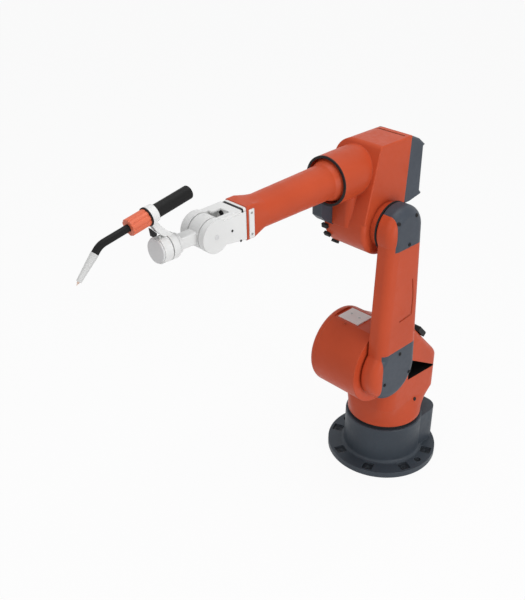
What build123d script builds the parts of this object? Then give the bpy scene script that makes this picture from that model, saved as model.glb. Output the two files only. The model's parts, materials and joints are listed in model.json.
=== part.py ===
from build123d import *
import os
from math import acos, asin, atan2, cos, degrees, hypot, radians, sin, sqrt

os.makedirs("parts", exist_ok=True)

# Sizes are in millimetres, X forward, Y to the side of the upper arm, Z up.

# Base
flange_radius = 240
flange_thickness = 26
base_land = 72
base_height = 198
base_top_round = 6
foot_radius = 15
base_wall = 73
base_bore_clearance = 10
rear_box_reach = 44
rear_box_inset = 20
rear_box_drop = 10
rear_box_corner = 60
bolt_circle_inset = 35
bolt_hole_radius = 9
bolt_angles = [22.5, 67.5, 112.5, -22.5, -67.5, -112.5]
spot_face_size = 46
spot_face_corner = 6
spot_face_depth = 9
dowel_hole_radius = 8
dowel_seat_width = 7
socket_plate_width = 190
socket_plate_thickness = 5
socket_plate_head = 28
socket_plate_foot = 24
socket_radius = 24
socket_length = 26
socket_spacing = 84
socket_rim = 5
socket_floor = 10

base_radius = flange_radius - base_land
base_bore_radius = base_radius - base_wall
bolt_circle_radius = flange_radius - bolt_circle_inset
dowel_seat_radius = dowel_hole_radius + dowel_seat_width
rear_box_back = base_radius + rear_box_reach
rear_box_half_width = base_radius - rear_box_inset
rear_box_height = base_height - rear_box_drop
socket_plate_bottom = flange_thickness + socket_plate_foot
socket_plate_height = rear_box_height - socket_plate_head - socket_plate_bottom
socket_plate_level = socket_plate_bottom + socket_plate_height / 2
socket_depth = socket_length - socket_floor

# Turning joint between base and carousel
ring_inset = 15
ring_height = 10
ring_wall = 17
ring_sleeve_depth = 70
pin_clearance = 0.05
turn_gap = 3

ring_radius = base_radius - ring_inset
ring_bore_radius = base_bore_radius - ring_wall
base_bore_depth = ring_sleeve_depth + base_bore_clearance
carousel_bottom = base_height + ring_height + turn_gap

# Carousel, with the shoulder axis in front of and above the turning axis
shoulder_x = 233
shoulder_rise = 398
column_inset = 8
column_foot_round = 5
flare_foot = 15
flare_height = 86
body_front_inset = 2
body_back_reach = 36
body_back_round = 36
body_far = 118
body_corner = 62
body_far_drop = 209
body_far_slope = 50
body_back_drop = 144
body_slope_reach = 261
body_slope_rise = 33
drum_radius = 165
drum_far = 70
drum_cap_thickness = 30
drum_cap_round = 22
crown_drop = 10
crest_drop = 6
recess_front = 203
recess_top_reach = 246
recess_back = 396
recess_front_top = 79
recess_back_top = 103
recess_front_bottom = 179
recess_back_bottom = 190
recess_depth = 74
plate_length = 88
plate_width = 102
plate_thickness = 4
plate_shift = -6
gland_block_width = 58
gland_block_length = 62
gland_block_height = 24
gland_block_round = 7
gland_block_along = 36
gland_block_inset = 42

# Upper arm, beside the carousel
arm_far = 140
arm_thickness = 75
arm_clearance = 6
arm_length = 600
lower_end_radius = 129
upper_end_radius = 96
arm_front_low_inset = 33
arm_front_high_inset = 12
arm_front_low_rise = 150
arm_front_high_drop = 96
arm_near_round = 38
arm_far_round = 8
arm_cover_depth = 20
shoulder_hub_radius = 100
shoulder_pin_inset = 32
shoulder_pin_wall = 9
elbow_hub_radius = 85
elbow_hub_step = 14
elbow_hub_seat = 7
elbow_pin_inset = 28
elbow_pin_wall = 15
hub_gap = 0.5
lower_cover_front = 86
lower_cover_top = 100
upper_cover_front = 65
upper_cover_low = 62
upper_cover_rim = 24
groove_width = 7
groove_depth = 4
groove_back = 50
groove_turn = 12
groove_low = 237
groove_bend = 81
groove_height = 154
groove_front = 6

column_radius = base_radius - column_inset
shoulder_z = carousel_bottom + shoulder_rise
flare_start = carousel_bottom + flare_foot
flare_end = flare_start + flare_height
body_front = column_radius - body_front_inset
body_back = column_radius + body_back_reach
body_near = arm_far - arm_clearance
body_far_low = shoulder_z - body_far_drop
body_far_high = body_far_low + body_far_slope
body_slope_low = shoulder_z - body_back_drop
body_slope_x = shoulder_x - body_slope_reach
body_slope_z = shoulder_z + body_slope_rise
gland_block_y = body_near - gland_block_inset
arm_near = arm_far + arm_thickness
arm_front_low = lower_end_radius - arm_front_low_inset
arm_front_high = upper_end_radius - arm_front_high_inset
shoulder_pin_radius = shoulder_hub_radius - shoulder_pin_inset
shoulder_pin_depth = arm_thickness - arm_cover_depth - shoulder_pin_wall
elbow_pin_radius = elbow_hub_radius - elbow_pin_inset
elbow_pin_depth = arm_thickness - arm_cover_depth - elbow_pin_wall
elbow_x = shoulder_x
elbow_z = shoulder_z + arm_length

# Elbow housing, measured from the elbow axis
housing_near = 106
housing_far = 92
housing_height = 307
housing_front = 52
housing_back = 122
housing_low_back = 104
housing_low_rise = 20
housing_crest_round = 16
housing_edge_round = 16
housing_near_round = 4
housing_far_round = 70
housing_seam_back = 98
housing_seam_width = 8
housing_seam_depth = 7
housing_seam_inset = 14
elbow_drum_radius = 122
rear_cover_reach = 92
rear_cover_recess = 12
rear_cover_rise = 63
rear_cover_run = 56
rear_cover_drop = 26
rear_cover_crest = 24
rear_cover_lip = 55
rear_cover_slope = 6
rear_cover_edge_round = 12
rear_cover_foot = 32
rear_cover_foot_drop = 14
forearm_rise = 202.7
forearm_tilt = 1.5
sleeve_radius = 91
sleeve_length = 214
sleeve_wall = 9
sleeve_ring_length = 4
sleeve_boss_near = 45
sleeve_boss_far = 50
sleeve_boss_round = 30
sleeve_boss_drop = 206
sleeve_well_depth = 28
roll_pin_radius = 50
roll_pin_depth = 66
under_cover_near = -40
under_cover_far = 84
under_cover_start = 128
under_cover_inset = 22
under_cover_drop = 186
under_cover_fall = 24
under_cover_round = 26
drum_cap_inset = 22
elbow_cap_thickness = 16
elbow_cap_round = 8
clamp_angles = [-12, -31, -61]
clamp_width = 26
clamp_length = 16
clamp_height = 12
clamp_seat = 1
clamp_inset = 16

housing_top = elbow_z + housing_height
housing_width = housing_near + housing_far
sleeve_bore = sleeve_radius - sleeve_wall
sleeve_well = sleeve_length - sleeve_well_depth
roll_pin_start = sleeve_well - roll_pin_depth
under_cover_end = sleeve_length - under_cover_inset
drum_cap_radius = elbow_drum_radius - drum_cap_inset

# Forearm, measured along its axis from the elbow
well_gap = 5
tube_clearance = 6
tube_root_length = 14
tube_neck_run = 31
tube_neck_radius = 64
tube_taper_length = 316
tube_end_radius = 59
block_flare_length = 56
block_length = 33
block_half_width = 49
block_half_height = 59
block_round = 5
strip_margin = 9
strip_width = 22
strip_thickness = 3
strip_round = 2
strip_inset = 14
strip_drop = 4
adapter_thickness = 11
adapter_inset = 3
wrist_gap_length = 11
wrist_gap_inset = 4

tube_root = sleeve_well + well_gap
tube_root_radius = sleeve_bore - tube_clearance
tube_neck = tube_root + tube_root_length + tube_neck_run
tube_end = tube_neck + tube_taper_length
block_start = tube_end + block_flare_length
block_end = block_start + block_length
strip_length = 2 * (block_half_height - strip_margin)
strip_along = block_start + strip_inset
adapter_end = block_end + adapter_thickness
fork_start = adapter_end + wrist_gap_length

# Wrist, whose axis runs a little above the axis of the forearm
fork_web = 34
fork_window_run = 76
fork_end_radius = 55
fork_height_inset = 4
fork_low_inset = 9
fork_waist_back = 40
fork_waist_inset = 14
fork_slot_near = 31
fork_slot_far = 25
fork_window_far = 9
fork_lid_thickness = 6
fork_lid_gap = 40
fork_cover_depth = 5
fork_cover_inset = 9
fork_cover_start = 7
wrist_rise = 4
wrist_lift = 1.5
wrist_drum_inset = 1
wrist_side_gap = 5
wrist_boss_inset = 4
wrist_pin_radius = 14
wrist_pin_wall = 5
neck_half_width = 20
neck_half_height = 20.5
neck_length = 114
neck_edge = 6
output_radius = 33
output_length = 13
flange_pin_wall = 2
flange_pin_depth = 20
insulator_radius = 37
insulator_length = 4

fork_half_width = block_half_width
fork_top = block_half_height - fork_height_inset
fork_low = block_half_height - fork_low_inset
fork_waist = fork_low - fork_waist_inset
fork_cover_top = fork_top - fork_cover_inset
fork_slot_start = fork_start + fork_web
wrist_centre = fork_slot_start + fork_window_run
fork_lid_end = wrist_centre - fork_lid_gap
wrist_drum_radius = fork_end_radius - wrist_drum_inset
wrist_drum_near = fork_slot_near - wrist_side_gap
wrist_drum_far = fork_slot_far - wrist_side_gap
wrist_boss_radius = wrist_drum_radius - wrist_boss_inset
wrist_boss_near = fork_slot_near - hub_gap
wrist_boss_far = fork_slot_far - hub_gap
wrist_pin_half = fork_half_width - wrist_pin_wall
flange_pin_radius = neck_half_width - flange_pin_wall
insulator_start = neck_length + output_length
holder_start = insulator_start + insulator_length

# Torch holder, measured along the tool axis from the wrist
holder_thickness = 24
holder_radius = 42
holder_arm_half = 11
holder_arm_width = 22
arm_low_drop = 6
arm_low_reach = 34
arm_low_rise = 20
arm_top_reach = 11
arm_top_rise = 27
holder_edge = 2
mount_radius = 42
mount_gap = 4
mount_neck_inset = 7
mount_length = 30
mount_cap_inset = 3.5
mount_cap_length = 6
ring_ahead = 72.7
ring_rise = 79.5

holder_end = holder_start + holder_thickness
mount_neck_radius = mount_radius - mount_neck_inset
mount_cap_radius = mount_radius - mount_cap_inset
mount_end = holder_end + mount_gap + mount_length
ring_along = holder_start + ring_ahead
ring_up = holder_radius + ring_rise

# Torch
torch_dip = 11.2
torch_tube_radius = 21.5
torch_tube_length = 162
torch_tube_round = 6
torch_tube_wall = 9.5
torch_bore_depth = 30
clamp_half_width = 12.5
clamp_wall = 6.5
rim_length = 5
rim_edge = 3.5
torch_body_length = 65
torch_body_radius = 26.5
flute_count = 10
flute_radius = 4.5
neck_radius = 11.5
neck_seat = 10
neck_run = 86
neck_bend_radius = 52
neck_bend_angle = 36
neck_tail = 10
nozzle_length = 90
nozzle_lip = 1
nozzle_tip_radius = 8
nozzle_wall = 2.2
nozzle_cavity = 34
tip_gap = 2.2
tip_reach = 12

tool_tilt = forearm_tilt - wrist_lift
torch_tilt = tool_tilt + torch_dip
torch_tube_bore = torch_tube_radius - torch_tube_wall
clamp_centre = torch_tube_length - clamp_half_width
clamp_outer_radius = torch_tube_radius + clamp_wall
rim_start = torch_tube_length
rim_radius = torch_body_radius + rim_edge
body_start = rim_start + rim_length
torch_body_end = body_start + torch_body_length
neck_start = torch_body_end - neck_seat
neck_straight_end = torch_body_end + neck_run
nozzle_root_radius = neck_radius + nozzle_lip
tip_radius = nozzle_tip_radius - nozzle_wall - tip_gap


def side(y):
    # Plane seen from the near side, drawn in X and Z, extruding away from the viewer.
    return Plane(origin=(0, y, 0), x_dir=(1, 0, 0), z_dir=(0, -1, 0))


tilt = radians(forearm_tilt)
roll_origin = (elbow_x, 0, elbow_z + forearm_rise)
roll_direction = (cos(tilt), 0, -sin(tilt))


def along(d):
    # Plane across the forearm axis, drawn in Y and up, extruding towards the tool.
    base = Plane(origin=roll_origin, x_dir=(0, 1, 0), z_dir=roll_direction)
    return base.offset(d)


def beside(y):
    # Plane beside the forearm axis, drawn along it and up, extruding away from the viewer.
    start = (roll_origin[0], y, roll_origin[2])
    return Plane(origin=start, x_dir=roll_direction, z_dir=(0, -1, 0))


wrist_x = roll_origin[0] + wrist_centre * cos(tilt) + wrist_rise * sin(tilt)
wrist_z = roll_origin[2] - wrist_centre * sin(tilt) + wrist_rise * cos(tilt)
tool_turn = radians(tool_tilt)
tool_direction = (cos(tool_turn), 0, -sin(tool_turn))


def along_tool(d):
    # Plane across the tool axis, drawn in Y and up, extruding towards the torch.
    base = Plane(origin=(wrist_x, 0, wrist_z), x_dir=(0, 1, 0), z_dir=tool_direction)
    return base.offset(d)


def beside_tool(y):
    # Plane beside the tool axis, drawn along it and up, extruding away from the viewer.
    return Plane(origin=(wrist_x, y, wrist_z), x_dir=tool_direction, z_dir=(0, -1, 0))


aim = radians(torch_tilt)
torch_direction = (cos(aim), 0, -sin(aim))
ring_x = wrist_x + ring_along * cos(tool_turn) + ring_up * sin(tool_turn)
ring_z = wrist_z - ring_along * sin(tool_turn) + ring_up * cos(tool_turn)
torch_origin = (ring_x - clamp_centre * cos(aim), 0, ring_z + clamp_centre * sin(aim))


def across_torch(t):
    # Plane across the torch axis, drawn in Y and up, extruding towards the nozzle.
    base = Plane(origin=torch_origin, x_dir=(0, 1, 0), z_dir=torch_direction)
    return base.offset(t)


def beside_torch(y):
    # Plane beside the torch axis, drawn along it and up.
    start = (torch_origin[0], y, torch_origin[2])
    return Plane(origin=start, x_dir=torch_direction, z_dir=(0, -1, 0))


def finish(part, name):
    # Names the solid and writes it to its own file.
    part.label = name
    export_step(part, "parts/" + name + ".step")


# Base casting with the bolting flange and the rear connection box
with BuildPart() as base_casting:
    with BuildSketch(Plane.XY):
        Circle(flange_radius)
    extrude(amount=flange_thickness)
    with BuildSketch(Plane.XY):
        Circle(base_radius)
    extrude(amount=base_height)
    with BuildSketch(Plane.XY):
        with Locations((-rear_box_back / 2, 0)):
            RectangleRounded(rear_box_back, 2 * rear_box_half_width, rear_box_corner)
    extrude(amount=rear_box_height)
    foot_edges = base_casting.edges().filter_by_position(Axis.Z, flange_thickness, flange_thickness)
    round_foot = foot_edges.filter_by(GeomType.CIRCLE).filter_by(lambda e: abs(e.radius - base_radius) < 1)
    fillet(round_foot, foot_radius)
    top_faces = base_casting.faces().filter_by(Axis.Z).sort_by(Axis.Z)
    fillet(top_faces[-1].outer_wire().edges(), base_top_round)
    with BuildSketch(Plane.XY.offset(base_height)):
        Circle(base_bore_radius)
    extrude(amount=-base_bore_depth, mode=Mode.SUBTRACT)
    for angle in bolt_angles:
        spot = Plane.XY.offset(flange_thickness).rotated((0, 0, angle))
        with BuildSketch(spot):
            with Locations((bolt_circle_radius, 0)):
                RectangleRounded(spot_face_size, spot_face_size, spot_face_corner)
        extrude(amount=-spot_face_depth, mode=Mode.SUBTRACT)
        with BuildSketch(spot):
            with Locations((bolt_circle_radius, 0)):
                Circle(bolt_hole_radius)
        extrude(amount=-flange_thickness, mode=Mode.SUBTRACT)
    with Locations(Plane.XY.offset(flange_thickness)):
        with Locations((0, bolt_circle_radius), (0, -bolt_circle_radius)):
            CounterBoreHole(dowel_hole_radius, dowel_seat_radius, spot_face_depth)
finish(base_casting.part, "base_casting")

# Plate on the back of the base that carries the sockets
rear_plane = Plane(origin=(-rear_box_back, 0, socket_plate_level), x_dir=(0, -1, 0), z_dir=(-1, 0, 0))
with BuildPart() as base_socket_plate:
    with BuildSketch(rear_plane):
        RectangleRounded(socket_plate_width, socket_plate_height, spot_face_corner)
    extrude(amount=socket_plate_thickness)
finish(base_socket_plate.part, "base_socket_plate")

# Round sockets for the motor and signal leads
socket_plane = rear_plane.offset(socket_plate_thickness)
with BuildPart() as motor_socket:
    with BuildSketch(socket_plane):
        with Locations((-socket_spacing / 2, 0)):
            Circle(socket_radius)
    extrude(amount=socket_length)
    with BuildSketch(socket_plane.offset(socket_length)):
        with Locations((-socket_spacing / 2, 0)):
            Circle(socket_radius - socket_rim)
    extrude(amount=-socket_depth, mode=Mode.SUBTRACT)
finish(motor_socket.part, "motor_socket")

with BuildPart() as signal_socket:
    with BuildSketch(socket_plane):
        with Locations((socket_spacing / 2, 0)):
            Circle(socket_radius)
    extrude(amount=socket_length)
    with BuildSketch(socket_plane.offset(socket_length)):
        with Locations((socket_spacing / 2, 0)):
            Circle(socket_radius - socket_rim)
    extrude(amount=-socket_depth, mode=Mode.SUBTRACT)
finish(signal_socket.part, "signal_socket")

# Black seal ring with the sleeve that guides the carousel
with BuildPart() as base_seal_ring:
    with BuildSketch(Plane.XY.offset(base_height)):
        Circle(ring_radius)
    extrude(amount=ring_height)
    with BuildSketch(Plane.XY.offset(base_height)):
        Circle(base_bore_radius)
    extrude(amount=-ring_sleeve_depth)
    with BuildSketch(Plane.XY.offset(base_height + ring_height)):
        Circle(ring_bore_radius)
    extrude(amount=-ring_height - ring_sleeve_depth, mode=Mode.SUBTRACT)
finish(base_seal_ring.part, "base_seal_ring")

# Carousel casting with the column, the shoulder drum and the sloping rear body
body_mid_x = (body_front - body_back) / 2
body_mid_y = (body_near - body_far) / 2
crown_level = shoulder_z + drum_radius - crown_drop
slope_rise = body_slope_z - body_slope_low
slope_run = body_slope_x + body_back
slope = slope_rise / slope_run
crest_x = shoulder_x - body_slope_x
crest_z = shoulder_z - body_slope_z
crest_reach = sqrt(crest_x**2 + crest_z**2)
crest_radius = drum_radius - crest_drop
crest_angle = atan2(crest_z, crest_x) + asin(crest_radius / crest_reach)
tangent_run = sqrt(crest_reach**2 - crest_radius**2)
tangent_x = body_slope_x + tangent_run * cos(crest_angle)
tangent_z = body_slope_z + tangent_run * sin(crest_angle)
with BuildPart() as carousel_casting:
    with BuildSketch(Plane.XY.offset(carousel_bottom)):
        Circle(column_radius)
    extrude(amount=flare_start - carousel_bottom)
    fillet(carousel_casting.edges().group_by(Axis.Z)[0], column_foot_round)
    with BuildSketch(Plane.XY.offset(flare_start)):
        Circle(column_radius)
    with BuildSketch(Plane.XY.offset(flare_end)):
        with Locations((body_mid_x, body_mid_y)):
            RectangleRounded(body_front + body_back, body_near + body_far, body_corner)
    loft()
    with BuildSketch(Plane.XY.offset(flare_end)):
        with Locations((body_mid_x, body_mid_y)):
            RectangleRounded(body_front + body_back, body_near + body_far, body_corner)
    extrude(amount=crown_level - flare_end)
    with BuildSketch(side(body_near + drum_radius)):
        with BuildLine():
            Polyline(
                (-body_back - drum_radius, body_slope_low - slope * drum_radius),
                (body_slope_x, body_slope_z),
                (tangent_x, tangent_z),
                (shoulder_x, crown_level + drum_radius),
                (-body_back - drum_radius, crown_level + drum_radius),
                close=True,
            )
        make_face()
    extrude(amount=2 * (body_near + drum_radius), mode=Mode.SUBTRACT)
    with BuildSketch(Plane.YZ.offset(-body_back - drum_radius)):
        with BuildLine():
            Polyline(
                (-body_far - drum_radius, body_far_low - drum_radius),
                (-body_far, body_far_low),
                (-drum_far, body_far_high),
                (-drum_far, crown_level + drum_radius),
                (-body_far - drum_radius, crown_level + drum_radius),
                close=True,
            )
        make_face()
    extrude(amount=body_back + shoulder_x + 2 * drum_radius, mode=Mode.SUBTRACT)
    back_corner = carousel_casting.edges().sort_by_distance((-body_back, 0, body_slope_low))[0]
    fillet(back_corner, body_back_round)
    with BuildSketch(side(body_near)):
        with Locations((shoulder_x, shoulder_z)):
            Circle(drum_radius)
    extrude(amount=body_near + drum_far)
    with BuildSketch(Plane.XY.offset(crown_level)):
        with Locations((shoulder_x, 0)):
            Rectangle(4 * drum_radius, 4 * drum_radius)
    extrude(amount=drum_radius, mode=Mode.SUBTRACT)
    with BuildSketch(side(body_near)):
        with BuildLine():
            Polyline(
                (shoulder_x - recess_back, shoulder_z - recess_back_bottom),
                (shoulder_x - recess_front, shoulder_z - recess_front_bottom),
                (shoulder_x - recess_front, shoulder_z - recess_front_top),
                (shoulder_x - recess_top_reach, shoulder_z - recess_back_top),
                close=True,
            )
        make_face()
    extrude(amount=recess_depth, mode=Mode.SUBTRACT)
    with BuildSketch(Plane.XY.offset(carousel_bottom)):
        Circle(ring_bore_radius - pin_clearance)
    extrude(amount=-turn_gap - ring_height - ring_sleeve_depth)
finish(carousel_casting.part, "carousel_casting")

# Rounded cap on the far end of the shoulder drum
with BuildPart() as shoulder_drum_cap:
    with BuildSketch(side(-drum_far)):
        with Locations((shoulder_x, shoulder_z)):
            Circle(drum_radius)
    extrude(amount=drum_cap_thickness)
    fillet(shoulder_drum_cap.edges().group_by(Axis.Y)[0], drum_cap_round)
finish(shoulder_drum_cap.part, "shoulder_drum_cap")

# Bare plate on the crown of the shoulder drum
with BuildPart() as crown_plate:
    with BuildSketch(Plane.XY.offset(crown_level)):
        with Locations((shoulder_x, plate_shift)):
            Rectangle(plate_length, plate_width)
    extrude(amount=plate_thickness)
finish(crown_plate.part, "crown_plate")

# Black cable block on the slope behind the upper arm
slope_angle = degrees(atan2(slope_rise, slope_run))
slope_plane = Plane(
    origin=(body_slope_x, gland_block_y, body_slope_z),
    x_dir=(-cos(radians(slope_angle)), 0, -sin(radians(slope_angle))),
    z_dir=(-sin(radians(slope_angle)), 0, cos(radians(slope_angle))),
)
with BuildPart() as cable_block:
    with BuildSketch(slope_plane):
        with Locations((gland_block_along, 0)):
            Rectangle(gland_block_length, gland_block_width)
    extrude(amount=gland_block_height)
    block_top = cable_block.faces().sort_by(Axis((0, 0, 0), slope_plane.z_dir))[-1]
    fillet(block_top.edges(), gland_block_round)
finish(cable_block.part, "cable_block")

# Shoulder hub that carries the upper arm on its pin
with BuildPart() as shoulder_hub:
    with BuildSketch(side(arm_far - hub_gap)):
        with Locations((shoulder_x, shoulder_z)):
            Circle(shoulder_hub_radius)
    extrude(amount=arm_far - hub_gap - body_near)
    with BuildSketch(side(arm_far + shoulder_pin_depth)):
        with Locations((shoulder_x, shoulder_z)):
            Circle(shoulder_pin_radius)
    extrude(amount=shoulder_pin_depth + hub_gap)
finish(shoulder_hub.part, "shoulder_hub")

# Upper arm as one block, before its covers are parted off
end_step = lower_end_radius - upper_end_radius
lean = atan2(end_step, arm_length)
lower_rear = (shoulder_x - lower_end_radius * cos(lean), shoulder_z + lower_end_radius * sin(lean))
upper_rear = (elbow_x - upper_end_radius * cos(lean), elbow_z + upper_end_radius * sin(lean))
front_low = (shoulder_x + arm_front_low, shoulder_z + arm_front_low_rise)
front_high = (elbow_x + arm_front_high, elbow_z - arm_front_high_drop)
with BuildPart() as upper_arm_block:
    with BuildSketch(side(arm_near)) as arm_outline:
        with Locations((shoulder_x, shoulder_z)):
            Circle(lower_end_radius)
        with Locations((elbow_x, elbow_z)):
            Circle(upper_end_radius)
        with BuildLine():
            Polyline(
                (shoulder_x, shoulder_z),
                lower_rear,
                upper_rear,
                (elbow_x, elbow_z),
                (elbow_x + arm_front_high, elbow_z),
                front_high,
                front_low,
                (shoulder_x + arm_front_low, shoulder_z),
                close=True,
            )
        make_face()
    extrude(amount=arm_near - arm_far)
    near_face = upper_arm_block.faces().filter_by(Axis.Y).sort_by(Axis.Y)[-1]
    fillet(near_face.outer_wire().edges(), arm_near_round)
    far_face = upper_arm_block.faces().filter_by(Axis.Y).sort_by(Axis.Y)[0]
    fillet(far_face.outer_wire().edges(), arm_far_round)

# Spaces that part the two dark covers off the upper arm
with BuildPart() as lower_cover_space:
    with BuildSketch(side(arm_near)):
        with Locations((shoulder_x + lower_cover_front, shoulder_z + lower_cover_top)):
            Rectangle(4 * lower_end_radius, 4 * lower_end_radius, align=(Align.MAX, Align.MAX))
    extrude(amount=arm_cover_depth)

with BuildPart() as upper_cover_space:
    with BuildSketch(side(arm_near)):
        with Locations((elbow_x + upper_cover_front, elbow_z - upper_cover_low)):
            Rectangle(4 * lower_end_radius, 4 * lower_end_radius, align=(Align.MAX, Align.MIN))
    extrude(amount=arm_near - arm_far)
    core_radius = upper_end_radius - upper_cover_rim
    with BuildSketch(side(arm_near - arm_cover_depth)):
        with Locations((elbow_x, elbow_z)):
            Circle(core_radius)
            Rectangle(2 * core_radius, 2 * upper_end_radius, align=(Align.CENTER, Align.MAX))
    extrude(amount=arm_near - arm_far, mode=Mode.SUBTRACT)

# Upper arm casting with the bores for both hubs and the pressed groove
with BuildPart() as upper_arm_casting:
    add(upper_arm_block.part)
    add(lower_cover_space.part, mode=Mode.SUBTRACT)
    add(upper_cover_space.part, mode=Mode.SUBTRACT)
    with BuildSketch(side(arm_far + shoulder_pin_depth + hub_gap)):
        with Locations((shoulder_x, shoulder_z)):
            Circle(shoulder_pin_radius + pin_clearance)
    extrude(amount=shoulder_pin_depth + 2 * hub_gap, mode=Mode.SUBTRACT)
    with BuildSketch(side(arm_far + elbow_pin_depth + hub_gap)):
        with Locations((elbow_x, elbow_z)):
            Circle(elbow_pin_radius + pin_clearance)
    extrude(amount=elbow_pin_depth + 2 * hub_gap, mode=Mode.SUBTRACT)
    groove_x = shoulder_x - groove_back
    groove_top = shoulder_z + groove_low + groove_height
    with BuildSketch(side(arm_near)):
        with BuildLine() as groove_line:
            Polyline(
                (groove_x, groove_top),
                (groove_x - groove_turn, shoulder_z + groove_low + groove_bend),
                (groove_x - groove_turn, shoulder_z + groove_low),
                (shoulder_x + groove_front, shoulder_z + groove_low - groove_front),
            )
            offset(groove_line.line, groove_width / 2, side=Side.BOTH, kind=Kind.INTERSECTION)
        make_face()
    extrude(amount=groove_depth, mode=Mode.SUBTRACT)
finish(upper_arm_casting.part, "upper_arm_casting")

# Dark cover over the shoulder end of the upper arm
with BuildPart() as shoulder_cover:
    add(upper_arm_block.part)
    add(lower_cover_space.part, mode=Mode.INTERSECT)
finish(shoulder_cover.part, "shoulder_cover")

# Dark cover over the elbow end of the upper arm
with BuildPart() as elbow_cover:
    add(upper_arm_block.part)
    add(upper_cover_space.part, mode=Mode.INTERSECT)
finish(elbow_cover.part, "elbow_cover")

# Drum of the elbow with both rims rounded
with BuildPart() as elbow_drum_form:
    with BuildSketch(side(housing_near)):
        with Locations((elbow_x, elbow_z)):
            Circle(elbow_drum_radius)
    extrude(amount=housing_width)
    fillet(elbow_drum_form.edges().filter_by(GeomType.CIRCLE), housing_edge_round)

# Upright block, rounded along its far top edge, that bounds the elbow housing and its rear cover
with BuildPart() as housing_envelope:
    with BuildSketch(side(housing_near)):
        with Locations((elbow_x + elbow_drum_radius, housing_top)):
            envelope_size = 2 * elbow_drum_radius + housing_back + rear_cover_reach
            Rectangle(envelope_size, envelope_size, align=(Align.MAX, Align.MAX))
    extrude(amount=housing_width)
    top_edges = housing_envelope.faces().sort_by(Axis.Z)[-1].edges()
    fillet(top_edges.sort_by(Axis.Y)[0], housing_far_round)

# Elbow housing with its drum and the sleeve of the forearm
front_reach = hypot(housing_front, housing_height)
front_turn = atan2(housing_height, housing_front) - acos(elbow_drum_radius / front_reach)
front_touch = (elbow_x + elbow_drum_radius * cos(front_turn), elbow_z + elbow_drum_radius * sin(front_turn))
front_crest = (elbow_x + housing_front, housing_top)
with BuildPart() as elbow_housing:
    with BuildSketch(side(housing_near)) as housing_outline:
        with BuildLine():
            Polyline(
                (elbow_x, elbow_z),
                (elbow_x - housing_low_back, elbow_z + housing_low_rise),
                (elbow_x - housing_back, housing_top),
                front_crest,
                front_touch,
                close=True,
            )
        make_face()
        crest = housing_outline.vertices().sort_by(Axis.Y)[-2:].sort_by(Axis.X)[-1]
        fillet(crest, housing_crest_round)
    extrude(amount=housing_width)
    near_face = elbow_housing.faces().filter_by(Axis.Y).sort_by(Axis.Y)[-1]
    near_edges = near_face.edges().filter_by(lambda e: e.center().Z > front_touch[1])
    fillet(near_edges.filter_by(lambda e: e.center().X > elbow_x - housing_low_back), housing_near_round)
    add(housing_envelope.part, mode=Mode.INTERSECT)
    with BuildSketch(Plane(origin=(elbow_x - housing_seam_back, 0, housing_top))):
        seam_length = housing_width - housing_seam_inset
        with Locations((0, -housing_far)):
            Rectangle(housing_seam_width, seam_length, align=(Align.CENTER, Align.MIN))
    extrude(amount=-housing_seam_depth, mode=Mode.SUBTRACT)
    add(elbow_drum_form.part)
    with BuildSketch(along(0)):
        Circle(sleeve_radius)
    extrude(amount=sleeve_length)
    with BuildSketch(Plane.XY.offset(elbow_z + forearm_rise - sleeve_boss_drop)) as boss_foot:
        with Locations((elbow_x, -sleeve_boss_far)):
            Rectangle(under_cover_start, sleeve_boss_near + sleeve_boss_far, align=(Align.MIN, Align.MIN))
        boss_corner = boss_foot.vertices().sort_by(Axis.X)[-2:].sort_by(Axis.Y)[-1]
        fillet(boss_corner, sleeve_boss_round)
    extrude(amount=sleeve_boss_drop)
    with BuildSketch(along(sleeve_well)):
        Circle(sleeve_bore)
    extrude(amount=sleeve_well_depth, mode=Mode.SUBTRACT)
    with BuildSketch(along(roll_pin_start)):
        Circle(roll_pin_radius + pin_clearance)
    extrude(amount=roll_pin_depth, mode=Mode.SUBTRACT)
finish(elbow_housing.part, "elbow_housing")

# Dark ring at the mouth of the sleeve
with BuildPart() as sleeve_ring:
    with BuildSketch(along(sleeve_length)):
        Circle(sleeve_radius)
        Circle(sleeve_bore, mode=Mode.SUBTRACT)
    extrude(amount=sleeve_ring_length)
finish(sleeve_ring.part, "sleeve_ring")

# Dark motor cover on the back of the elbow housing, with its recessed back and slanted foot
cover_x = elbow_x - housing_back - rear_cover_reach
cover_bottom = elbow_z + rear_cover_rise
foot_level = cover_bottom - rear_cover_foot_drop
foot_share = (foot_level - elbow_z - housing_low_rise) / (housing_height - housing_low_rise)
foot_x = elbow_x - housing_low_back - foot_share * (housing_back - housing_low_back)
with BuildPart() as elbow_motor_cover:
    with BuildSketch(side(housing_near)) as cover_outline:
        with BuildLine():
            Polyline(
                (elbow_x - housing_back, housing_top),
                (elbow_x - housing_back - rear_cover_run, housing_top - rear_cover_drop),
                (cover_x, housing_top - rear_cover_lip),
                (cover_x + rear_cover_recess, housing_top - rear_cover_lip - rear_cover_slope),
                (cover_x + rear_cover_recess, cover_bottom + rear_cover_recess),
                (cover_x, cover_bottom),
                (foot_x - rear_cover_foot, foot_level),
                (foot_x, foot_level),
                close=True,
            )
        make_face()
        cover_crest = cover_outline.vertices().sort_by(Axis.Y)[-2:].sort_by(Axis.X)[0]
        fillet(cover_crest, rear_cover_crest)
    extrude(amount=housing_width)
    add(housing_envelope.part, mode=Mode.INTERSECT)
    near_face = elbow_motor_cover.faces().filter_by(Axis.Y).sort_by(Axis.Y)[-1]
    panel_x = cover_x + 2 * rear_cover_recess
    back_edges = near_face.edges().filter_by(lambda e: e.center().X < panel_x)
    fillet(back_edges, rear_cover_edge_round)
    with BuildSketch(side(housing_near)):
        with Locations((elbow_x, elbow_z)):
            Circle(elbow_drum_radius)
    extrude(amount=housing_width, mode=Mode.SUBTRACT)
finish(elbow_motor_cover.part, "elbow_motor_cover")

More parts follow.
